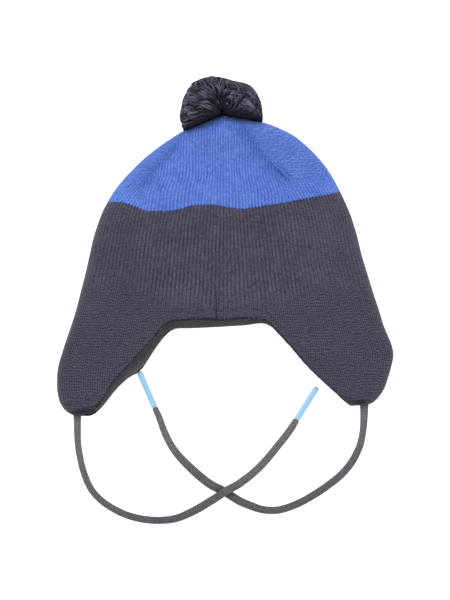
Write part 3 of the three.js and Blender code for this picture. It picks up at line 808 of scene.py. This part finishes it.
def make_crown():
    """The blue top: outer face with its ribs from the tip to the colour change, and an inner face."""
    ease = (np.arange(1, CROWN_ROWS + 1) / CROWN_ROWS) ** CROWN_EASE
    end = colour_change(TURNS, COUNTS) - CHANGE_GAP
    depth = ease[:, None] * end[None]
    counts, past, ends = crown_counts(TURNS, depth)
    points, normal = face(TURNS, depth), outward(TURNS, depth)
    x, y = points[..., 0], points[..., 1]
    counts = counts + wander(x, y)
    upper = np.sin(TURNS) > 0
    near_tip = np.clip(depth / 10, 0, 1)
    smooth = 0.85 * eased((past + 6) / 9) * (1 - 0.5 * eased((depth - 52) / 14))
    relief = CROWN_RELIEF * (1 - 0.6 * smooth) * (rib(counts) - 0.75) * SHOWN * near_tip
    relief = relief + np.where(upper, 0.35 * waves(x, y, 5, 60, 22, 7) * near_tip, 0)
    groove = np.where(upper, dart_groove(past, ends, depth) * near_tip, 0)
    outer = points + normal * (relief - groove)[..., None]
    inner_depth = CROWN_INNER[:, None] * end[None]
    inner = beneath(TURNS, inner_depth, KNIT_WALL)
    rows = [*outer[:, :-1], *inner[:, :-1]]
    u = np.vstack([counts, np.broadcast_to(COUNTS, inner_depth.shape)])
    v = np.vstack([depth, inner_depth]) / COURSE
    tip = face(np.array(0.0), np.array(0.0))
    poles = (tip, tip - [0, KNIT_WALL, 0])
    points, faces, uv = skin_mesh(rows, u, v, poles)
    crown = add_object("crown_knit", points, faces, BLUE_KNIT, uv)
    # The crown's painted shade.
    give(crown, "painted_shade_and_darkening", crown_shade(x, depth, past, ends, end)[:, :-1])
    give(crown, "plain", (upper * smooth)[:, :-1])
    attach(crown, "root")
    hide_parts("crown")


SEAM_AT = (216.5 - PHOTO_TIP[0]) * PHOTO_SCALE  # the back seam, from its pixel
BODY_ROWS, BODY_EASE, BODY_INNER_ROWS = 76, 1.12, 11
STITCH_LINE, ROLLED_SHADOW_LINE = 9.5, 3.2  # how far above the hem's edge the stitch line and the painted shadow line of the rolled edge run


def make_body():
    """The charcoal part with both flaps: outer face with ribs that fade towards the flaps, the back seam
    and the hem's stitch line, a rounded hem edge, and an inner face."""
    start = colour_change(TURNS, COUNTS) + CHANGE_GAP
    hem = hem_depth(TURNS)
    edge = KNIT_WALL / 2
    ease = 1 - (1 - np.arange(BODY_ROWS) / (BODY_ROWS - 1)) ** BODY_EASE
    depth = start + (hem - edge - start) * ease[:, None]
    points, normal = face(TURNS, depth), outward(TURNS, depth)
    x, y = points[..., 0], points[..., 1]
    upper = np.sin(TURNS) > 0
    counts = body_counts(depth) + wander(x, y)
    to_hem = hem[None] - depth
    sides = eased((np.abs(x) - 40) / 45)
    smooth = np.maximum(eased((depth - 135 + 14 * sides) / (40 - 8 * sides)), 0.65 * sides)
    ribs = BODY_RELIEF * (1 - 0.85 * smooth) * (rib(counts) - 0.75) * SHOWN
    swell = np.where(upper, 0.4 * waves(x, y, 11, 75, 26, 8), 0)
    seam = 0.9 * bell(x - SEAM_AT, 0.8) * eased((depth - 138) / 30) * upper
    line = 0.45 * bell(to_hem - STITCH_LINE, 1.1) * (0.6 + 0.4 * waves(x, y, 3, 30, 9, 4)) * upper
    relief = ribs + swell * eased(to_hem / 12) - seam - line
    outer = points + normal * relief[..., None]
    turn_in = np.linspace(0, math.pi, 7)[1:-1]
    rim_depth = (hem - edge)[None] + edge * np.sin(turn_in)[:, None]
    rim_offset = edge * (1 - np.cos(turn_in))[:, None, None]
    rim = beneath(TURNS, rim_depth, rim_offset)
    inner_depth = start + (hem - edge - start) * np.linspace(1, 0, BODY_INNER_ROWS)[:, None]
    inner = beneath(TURNS, inner_depth, KNIT_WALL)
    rows = [*outer[:, :-1], *rim[:, :-1], *inner[:, :-1]]
    all_depths = np.vstack([depth, rim_depth, inner_depth])
    u = np.vstack([counts, np.broadcast_to(COUNTS, (len(rim_depth) + len(inner_depth), len(COUNTS)))])
    points, faces, uv = skin_mesh(rows, u, all_depths / COURSE, None)
    body = add_object("body_knit", points, faces, CHARCOAL_KNIT, uv)
    # Painted shade: a dark line along the hem's edge, weaker on the right flap; dashes of it in the stitch
    # line's groove and in the back seam's groove; a painted shadow where the flap's edge rolls under beside
    # each cord; a broad patch on the left of the upper layer; and the rounded hem edge.
    shaded_rim = 1 - 0.6 * eased((x[-1] - 50) / 25)
    painted_hem_shadow = bell(to_hem - edge, 1.3) * (0.8 + 0.6 * waves(x, y, 19, 5, 2.4, 8)) * shaded_rim
    dashes = np.clip(0.5 + waves(x, y, 3, 14, 4, 6), 0, 1)
    stitched = 0.3 * bell(to_hem - STITCH_LINE, 1.0) * dashes * upper
    at_seam = 0.6 * bell(x - SEAM_AT, 0.7) * eased((depth - 140) / 20) * upper
    beside_cord = np.minimum(np.abs(x - LEFT_ROUTE[0][0] - 1), np.abs(x - RIGHT_ROUTE[0][0] + 3))
    rolled_edge_shadow = bell(to_hem - ROLLED_SHADOW_LINE, 1.2, beside_cord, 8)
    left_painted_shade = 0.12 * bell(x + 82, 34, depth - 112, 40) * upper
    painted_shade_and_darkening = np.clip(painted_hem_shadow, 0, 1) + stitched + at_seam + rolled_edge_shadow + left_painted_shade
    painted_shade_and_darkening = np.vstack([painted_shade_and_darkening, np.tile(0.9 * shaded_rim, (len(rim), 1))])
    give(body, "painted_shade_and_darkening", painted_shade_and_darkening[:, :-1])
    give(body, "plain", smooth[:, :-1])
    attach(body, "root")
    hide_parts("body")


LINING_COLUMNS, LINING_ROWS, LINING_START = 301, 60, 4.0
HEM_INSET, FLAP_INSET = 0.5, 2.2  # how far the lining stops short of the hem, and more at the flaps


def make_lining():
    """The fleece cap: two faces at their distances under the knit's outer face, joined by a rounded edge
    near the hem and closed at the tip."""
    turns = np.interp(np.linspace(0, 1, LINING_COLUMNS), np.linspace(0, 1, len(TURNS)), TURNS)
    at_flap = eased((np.abs(np.cos(turns)) - 0.76) / 0.14)
    hem = hem_depth(turns) - HEM_INSET - FLAP_INSET * at_flap
    edge = LINING_WALL / 2
    face_at = KNIT_WALL + LINING_EASE
    down = np.linspace(0, 1, LINING_ROWS)[1:] ** 1.2
    outer_depth = LINING_START + (hem - edge - LINING_START)[None] * down[:, None]

    def layer(depth, offset):
        points = face(turns, depth)
        nap = 0.25 * waves(points[..., 0], points[..., 1], 21, 24, 7, 6)
        offset = offset + np.where(offset > face_at + edge, nap, 0)
        return points - outward(turns, depth) * offset[..., None]

    bend = np.linspace(0, math.pi, 6)[1:-1]
    rim_depth = (hem - edge)[None] + edge * np.sin(bend)[:, None]
    rim_offset = face_at + edge * (1 - np.cos(bend))[:, None]
    inner_depth = outer_depth[::-1]
    layers = (outer_depth, face_at), (rim_depth, rim_offset), (inner_depth, face_at + LINING_WALL)
    rows = [row[:-1] for depth, offset in layers for row in layer(depth, offset)]
    depths = np.vstack([outer_depth, rim_depth, inner_depth])
    tip = face(np.array(0.0), np.array(0.0))
    poles = (tip - [0, face_at, 0], tip - [0, face_at + LINING_WALL, 0])
    u = np.broadcast_to(np.linspace(0, 100, len(turns)), depths.shape)
    points, faces, uv = skin_mesh(rows, u, depths / COURSE, poles)
    lining = add_object("lining_cap", points, faces, FLEECE, uv)
    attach(lining, "root")
    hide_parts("lining")


make_crown()
make_body()
make_lining()

# The pompom.
POMPOM_MIDDLE = np.array([-1.4, -0.5, 24.5])
POMPOM_SIZE = np.array([35.4, 33.2, 26.0])
PARTING = unit(np.array([0.03, 0.4, 0.91]))
PARTING_ASIDE = unit(np.cross([0.0, 1.0, 0.0], PARTING))
PARTING_FRAME = (PARTING_ASIDE, np.cross(PARTING, PARTING_ASIDE), PARTING)
VALLEY = 0.5  # length of the valley between the two lobes, as an angle
HOLLOW = (-1.9, 16.0, 5.6, 4.4)  # the place where the strands part, darkened with painted shade: x, y and its reach both ways
CORE_SHARE, CORE_GAP = 0.74, 4.0  # size of the core as a share of the ball, and its gap to the crown
PRESS_RUN = 17.0  # how far from the crown's edge the ball is pressed down
LOWEST, STRAND_LOWEST = 0.45, 0.02  # heights over the floor


def crown_edge(x):
    """The crown's edge beside the pompom: how far up it lies at x."""
    depth = np.linspace(0, 70, 400)
    left = np.interp(-x, half_width(True, depth), depth)
    right = np.interp(x, half_width(False, depth), depth)
    return -np.where(x < 0, left, right)


def quarter_round(t):
    """Height of a quarter circle at t, from 0 at 0 to 1 at 1."""
    return np.sqrt(1 - (1 - np.clip(t, 0, 1)) ** 2)


def clear_of_crown(points, margin):
    """Points pressed down beside and under the crown. Beyond the edge, the ball's height is held
    under a quarter round that rises from the fold; below the crown, it is held under the fold."""
    x, y, z = points[..., 0], points[..., 1], points[..., 2]
    beyond = y - crown_edge(x)
    middle = TIP_LIFT * (1 - eased(-y / LIFT_RUN)) + FOLD_RADIUS
    rise = POMPOM_MIDDLE[2] + POMPOM_SIZE[2] - middle + 1
    over = middle + rise * quarter_round((beyond - margin) / PRESS_RUN)
    roll = quarter_round(-(beyond - margin) / FOLD_RADIUS)
    under = middle - FOLD_RADIUS * roll - margin
    limit = np.where(beyond > margin, over - margin, under)
    return np.stack([x, y, np.maximum(np.minimum(z, limit), LOWEST)], axis=-1)


def on_ball(polar, around, frame):
    """Unit direction at an angle from a frame's third axis and a turn round it."""
    aside, ahead, axis = frame
    level = np.cos(around)[..., None] * aside + np.sin(around)[..., None] * ahead
    return np.sin(polar)[..., None] * level + np.cos(polar)[..., None] * axis


def make_pompom_core():
    """A ball under the strands, in nearly the yarn's darkest colour as painted shade: an ellipsoid on a grid
    of two angles, kept clear of the crown.
    """
    polar = np.linspace(0, math.pi, 50)[1:-1]
    around = np.linspace(0, 2 * math.pi, 97)
    way = on_ball(polar[:, None], around[None], np.eye(3))
    bumps = 1 + 0.03 * waves(way[..., 0] * 30, way[..., 1] * 30 + way[..., 2] * 17, 8, 30, 10, 6)
    points = clear_of_crown(POMPOM_MIDDLE + way * POMPOM_SIZE * CORE_SHARE * bumps[..., None], CORE_GAP)
    ends = [POMPOM_MIDDLE + POMPOM_SIZE * [0, 0, end] for end in (CORE_SHARE, -CORE_SHARE)]
    top, bottom = (clear_of_crown(end, CORE_GAP) for end in ends)
    rows = [row[:-1] for row in points]
    zeros = np.zeros((len(rows), len(around)))
    points, faces, _ = skin_mesh(rows, zeros, zeros, (top, bottom))
    core = add_object("pompom_core", points, faces, YARN)
    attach(core, "root")
    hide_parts("pompom")


STRAND_POINTS, STRAND_SIDES = 10, 3
LOCK_STRANDS, LOCK_WIDTH = 10, 1.6  # strands in a lock, and its half width
LOOSE, STRAY = 0.3, 4  # share of the strands that lie apart from their locks, and how much further
THINNEST, THICKEST = 0.4, 0.75  # radii of the strands
TRIM = np.array([
    (-180, 1.015), (-160, 1), (-90, 1), (-8, 1.01), (8, 1.005), (30, 1.035), (47, 1.052), (60, 0.992),
    (73, 0.938), (84, 0.97), (92, 0.997), (105, 1.053), (117, 1.075), (130, 1.105), (140, 1.065),
    (147, 1.048), (155, 1.025), (165, 1.005), (172, 1), (180, 1.015),
])  # heading seen from above in degrees, size of the ball there


def trimmed(way):
    """How far the ball is trimmed in a direction: its outline's table, and soft lumps all over."""
    heading = np.degrees(np.arctan2(way[..., 1], way[..., 0]))
    level = np.hypot(way[..., 0], way[..., 1])
    outline = 1 + (look_up(TRIM, heading) - 1) * level**3
    lumps = waves(way[..., 0] * 33 + way[..., 2] * 9, way[..., 1] * 33 - way[..., 2] * 7, 61, 26, 11, 8)
    return outline + 0.018 * lumps * (1 - level**6)


def swept(around):
    """Turns round the parting, drawn together towards the top, and how far each slides down the valley
    between the two lobes: strands that would run under the crown sweep along its edge instead."""
    from_top = (around - math.pi / 2 + math.pi) % (2 * math.pi) - math.pi
    share = np.abs(from_top) / math.pi
    return from_top * (1 - 0.36 * share**1.3) + math.pi / 2, VALLEY * share**1.2


def tipped(way, angle):
    """Directions turned about the x axis by an angle, towards the crown."""
    y, z = way[..., 1], way[..., 2]
    turned = (y * np.cos(angle) - z * np.sin(angle), y * np.sin(angle) + z * np.cos(angle))
    return np.stack([way[..., 0], *turned], axis=-1)


def strand_paths(random, count):
    """Middles of the strands and each one's tone with painted shade. The strands lie in locks. A lock
    starts inside the ball, nearer the parting, rises to the surface and lies along it away from the
    parting, and curls from side to side by a sine of its own, more so on the right. Across a lock, the
    middle strands stand highest, and painted shade darkens the strands towards its sides. A share of
    the strands stray further from the middle of their lock than its width. Locks differ in tone at
    random. Painted shade darkens the locks that lie deep, the strands near the crown's edge and those
    in the hollow, where they also lie deeper."""
    golden = math.pi * (3 - math.sqrt(5))
    locks = count // LOCK_STRANDS
    k = np.arange(locks)
    end = np.clip(np.arccos(1 - 1.93 * (k + 0.5) / locks) + random.normal(0, 0.1, locks), 0.12, 2.95)
    heading = (k + random.random()) * golden + random.normal(0, 0.12, locks)
    start = np.maximum(end * 0.3, end - random.uniform(0.5, 0.95, locks))
    phase = random.uniform(0, 2 * math.pi, locks)
    lift, tone = random.normal(0, 1, (2, locks))
    end, heading, start, phase, lift, tone = (
        np.repeat(value, LOCK_STRANDS)[:, None] for value in (end, heading, start, phase, lift, tone)
    )
    t = np.linspace(0, 1, STRAND_POINTS)[None]
    aside = random.normal(0, 0.55, (count, 1)) * np.where(random.random((count, 1)) < LOOSE, STRAY, 1)
    edge = np.minimum(aside**2, 1.3)
    path_polar = start + (end + random.normal(0, 0.03, (count, 1)) - start) * t**0.9
    right = eased((np.cos(heading) - 0.1) / 0.4)
    curl = (0.07 + 0.2 * right) * np.sin(5 * t + phase) + random.normal(0, 0.035, (count, 1)) * t
    spread = LOCK_WIDTH / POMPOM_SIZE[0] * (0.45 + 0.55 * np.sin(math.pi * (0.1 + 0.75 * t)))
    path_around, down_valley = swept(heading + curl + aside * spread / np.maximum(np.sin(path_polar), 0.3))
    way = tipped(on_ball(path_polar, path_around, PARTING_FRAME), down_valley)
    level = np.hypot(way[..., 0], way[..., 1])
    reach = 0.985 + (0.045 * np.clip(lift, -2, 0.5) - 0.03 * edge) * (1 - 0.9 * level**6)
    rise = 0.5 + 0.5 * np.sin(t * math.pi / 2) ** 0.6
    tips = 1 - 0.02 * random.random((count, 1)) * t**6
    paths = POMPOM_MIDDLE + way * POMPOM_SIZE * (reach * rise * tips * trimmed(way))[..., None]
    # Painted shade: deep locks and strands at a lock's sides are darker, near_edge is a painted shadow along
    # the crown's edge, and hollow darkens the place where the strands part.
    shade = (0.3 + 0.16 * tone + 0.12 * lift) * (1 - 0.5 * edge) + random.normal(0, 0.34, (count, 1))
    beyond = paths[..., 1] - crown_edge(paths[..., 0])
    right = eased(paths[..., 0] / 12 + 0.5)
    near_edge = 0.15 + 0.85 * eased((beyond - 1.2 - 1.3 * right) / (5.5 + 2.5 * right))
    x, y, across, along = HOLLOW
    away = ((paths[..., 0] - x) / across) ** 2 + ((paths[..., 1] - y) / along) ** 2
    hollow = bell(away, 1)
    paths = POMPOM_MIDDLE + (paths - POMPOM_MIDDLE) * (1 - 0.15 * hollow)[..., None]
    shade = np.maximum(shade, 0) * near_edge * (1 - 0.9 * hollow)
    return clear_of_crown(paths, random.uniform(0.6, 3.6, (count, 1))), shade


def make_strands(name, seed, count):
    """Loose yarn ends: thin three-sided tubes along the strand paths, tapered at their tips, each with
    its own tone, and painted shade that darkens it towards the root."""
    random = np.random.default_rng(seed)
    paths, tone = strand_paths(random, count)
    ahead = unit(np.gradient(paths, axis=1))
    side = unit(np.cross(ahead, [0.21, 0.35, 0.91]))
    up = np.cross(side, ahead)
    t = np.linspace(0, 1, STRAND_POINTS)
    thick = random.uniform(THINNEST, THICKEST, count)[:, None] * (1 - 0.55 * t[None] ** 4)
    turn = np.arange(STRAND_SIDES) * 2 * math.pi / STRAND_SIDES
    around = np.cos(turn)[:, None] * side[..., None, :] + np.sin(turn)[:, None] * up[..., None, :]
    points = paths[..., None, :] + thick[..., None, None] * around
    points[..., 2] = np.maximum(points[..., 2], STRAND_LOWEST)
    first = np.arange(count)[:, None, None] * STRAND_POINTS * STRAND_SIDES
    at = first + np.arange(STRAND_POINTS)[None, :, None] * STRAND_SIDES + np.arange(STRAND_SIDES)
    after = np.roll(at, -1, axis=2)
    quads = np.stack([at[:, :-1], after[:, :-1], after[:, 1:], at[:, 1:]], axis=-1).reshape(-1, 4)
    caps = np.concatenate([at[:, 0, ::-1], at[:, -1]])
    strands = add_object(name, points.reshape(-1, 3), quads.tolist() + caps.tolist(), YARN)
    # Painted shade: each strand darkens towards its root, inside the ball.
    shade = np.clip(tone * (0.1 + 0.9 * t[None] ** 1.1), 0, 1)
    give(strands, "shade", np.repeat(shade[..., None], STRAND_SIDES, axis=2))
    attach(strands, "root")


STRAND_SEEDS, STRAND_COUNT = (41, 42), 3200

make_pompom_core()
for index, seed in enumerate(STRAND_SEEDS):
    make_strands(f"pompom_strands_{index + 1}", seed, STRAND_COUNT)


# Floor, lights and world.
def make_stage():
    """A pale floor that glows a little, painted light that washes out the shadows on it, and soft, even
    studio light from above.
    """
    mesh = bpy.data.meshes.new("floor")
    reach = 3.0
    corners = [(-reach, -reach, 0), (reach, -reach, 0), (reach, reach, 0), (-reach, reach, 0)]
    mesh.from_pydata(corners, [], [(0, 1, 2, 3)])
    floor = bpy.data.objects.new("floor", mesh)
    floor.location.z = -0.1 * MM
    bpy.context.scene.collection.objects.link(floor)
    material, _, shader = new_material("white_board_with_painted_glow")
    shader.inputs["Base Color"].default_value = linear("#f7f7f7")
    shader.inputs["Roughness"].default_value = 0.9
    shader.inputs["Specular IOR Level"].default_value = 0.1
    # The floor's glow is painted light: it washes out the shadows on the floor.
    shader.inputs["Emission Color"].default_value = (1.0, 1.0, 1.0, 1.0)
    shader.inputs["Emission Strength"].default_value = 0.6
    mesh.materials.append(material)
    for name, spot, size, power in (
        ("key", (-0.7, 0.9, 1.5), 1.1, 17.0),
        ("fill", (0.9, -0.5, 1.6), 1.4, 9.0),
    ):
        light = bpy.data.lights.new(name, "AREA")
        light.size = size
        light.energy = power
        lamp = bpy.data.objects.new(name, light)
        lamp.location = spot
        lamp.rotation_euler = (-Vector(spot)).to_track_quat("-Z", "Y").to_euler()
        bpy.context.scene.collection.objects.link(lamp)
    world = bpy.data.worlds.new("studio")
    bpy.context.scene.world = world
    world.use_nodes = True
    world.node_tree.nodes["Background"].inputs[0].default_value = (1.0, 1.0, 1.0, 1.0)
    world.node_tree.nodes["Background"].inputs[1].default_value = 0.75
    bpy.context.scene.view_settings.view_transform = "Standard"


make_stage()
